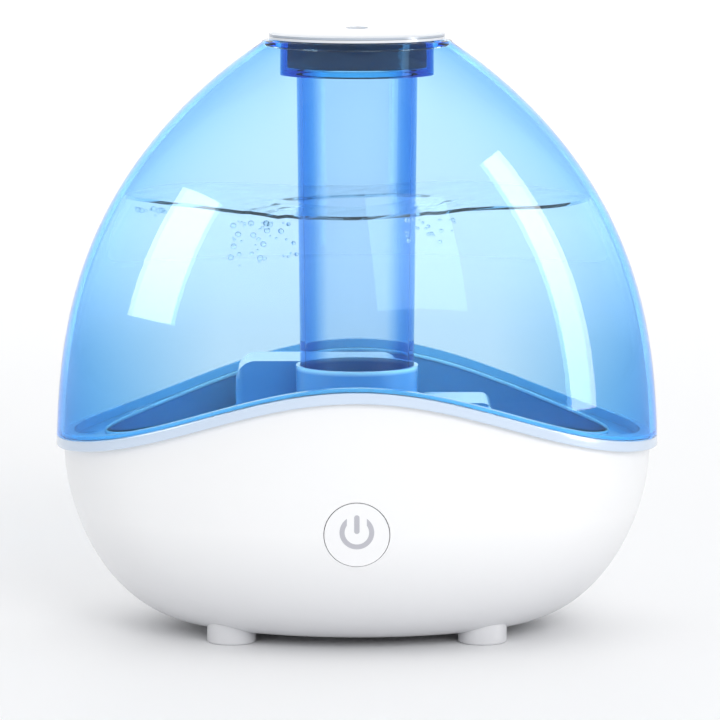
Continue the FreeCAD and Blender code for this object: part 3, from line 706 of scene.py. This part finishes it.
cameraFacts = {"place": (0.0011, -1.700, 0.3135), "pitch": 7.227, "lens": 234.6}
camera = bpy.data.objects.new("camera", bpy.data.cameras.new("camera"))
bpy.context.collection.objects.link(camera)
camera.location = cameraFacts["place"]
camera.rotation_euler = (math.radians(90 - cameraFacts["pitch"]), 0, 0)
camera.data.lens = cameraFacts["lens"]
camera.data.sensor_width = 36
camera.data.clip_start = 0.05
bpy.context.scene.camera = camera
bpy.context.scene.view_settings.view_transform = "Standard"


# studio: a paper sweep and soft boxes

studio = {"world": 0.66, "floorWidth": 9.0, "floorNear": -4.0, "floorFar": 3.6, "bend": 0.8,
          "wallTop": 3.5, "bendSteps": 10}

# each lamp: place, aim, width, height and watts; the mirrored ones only show in gloss, the rest only light
lamps = {
    "leftBox": ((-0.92, -0.27, 0.50), (-0.05, -0.03, 0.14), 0.44, 0.46, 6.0),
    "rightBox": ((0.97, -0.225, 0.465), (0.06, -0.03, 0.13), 0.27, 0.90, 7.8),
    "frontKey": ((0.75, -2.0, 1.1), (0, 0, 0.05), 1.2, 1.0, 19.0),
    "topBox": ((0, 0.5, 2.5), (0, 0.3, 0), 3.0, 3.0, 21.0),
    "wallWash": ((0, 2.2, 2.4), (0, 4.4, 0.2), 4.0, 1.0, 48.0),
}
mirrored = ("leftBox", "rightBox")


def buildBackdrop():
    deselectAll()
    width, near, far = studio["floorWidth"], studio["floorNear"], studio["floorFar"]
    bpy.ops.mesh.primitive_plane_add(size=1, location=(0, (near + far) / 2, 0))
    sweep = bpy.context.object
    sweep.name = "backdrop"
    sweep.scale = (width, far - near, 1)
    bpy.ops.object.transform_apply(location=True, rotation=True, scale=True)
    for number in range(studio["bendSteps"]):
        before = math.pi / 2 * number / studio["bendSteps"]
        after = math.pi / 2 * (number + 1) / studio["bendSteps"]
        back = studio["bend"] * (math.sin(after) - math.sin(before))
        up = studio["bend"] * (math.cos(before) - math.cos(after))
        pullRearEdge(sweep, (0, back, up))
    pullRearEdge(sweep, (0, 0, studio["wallTop"]))
    pickOnly(sweep)
    bpy.ops.object.shade_smooth()
    material, tree, shader = startMaterial("studioPaper")
    tintByNoise(tree, shader, (0.90, 0.905, 0.915), 0.004, 3.0)
    roughByNoise(tree, shader, 0.5, 0.6, 4.0)
    sweep.data.materials.append(material)


def pullRearEdge(sweep, move):
    pickOnly(sweep)
    mesh = sweep.data
    rear = max(vertex.co.y + vertex.co.z for vertex in mesh.vertices)
    for face in mesh.polygons:
        face.select = False
    for vertex in mesh.vertices:
        vertex.select = vertex.co.y + vertex.co.z > rear - 0.0001
    for edge in mesh.edges:
        edge.select = all(mesh.vertices[end].select for end in edge.vertices)
    bpy.context.tool_settings.mesh_select_mode = (False, True, False)
    bpy.ops.object.mode_set(mode="EDIT")
    bpy.ops.mesh.extrude_region_move(TRANSFORM_OT_translate={"value": move})
    bpy.ops.object.mode_set(mode="OBJECT")


def softbox(name, place, aim, wide, high, watts):
    light = bpy.data.lights.new(name, "AREA")
    light.shape = "RECTANGLE"
    light.size = wide
    light.size_y = high
    light.energy = watts
    lamp = bpy.data.objects.new(name, light)
    bpy.context.collection.objects.link(lamp)
    lamp.location = place
    heading = Vector(aim) - Vector(place)
    lamp.rotation_euler = heading.to_track_quat("-Z", "Y").to_euler()
    lamp.visible_glossy = name in mirrored
    lamp.visible_diffuse = name not in mirrored


buildBackdrop()
world = bpy.data.worlds.new("studioWorld")
bpy.context.scene.world = world
world.use_nodes = True
world.node_tree.nodes["Background"].inputs["Color"].default_value = (1.0, 1.0, 1.0, 1)
world.node_tree.nodes["Background"].inputs["Strength"].default_value = studio["world"]
for name, settings in lamps.items():
    softbox(name, *settings)
print("studio ready")


print("scene complete")
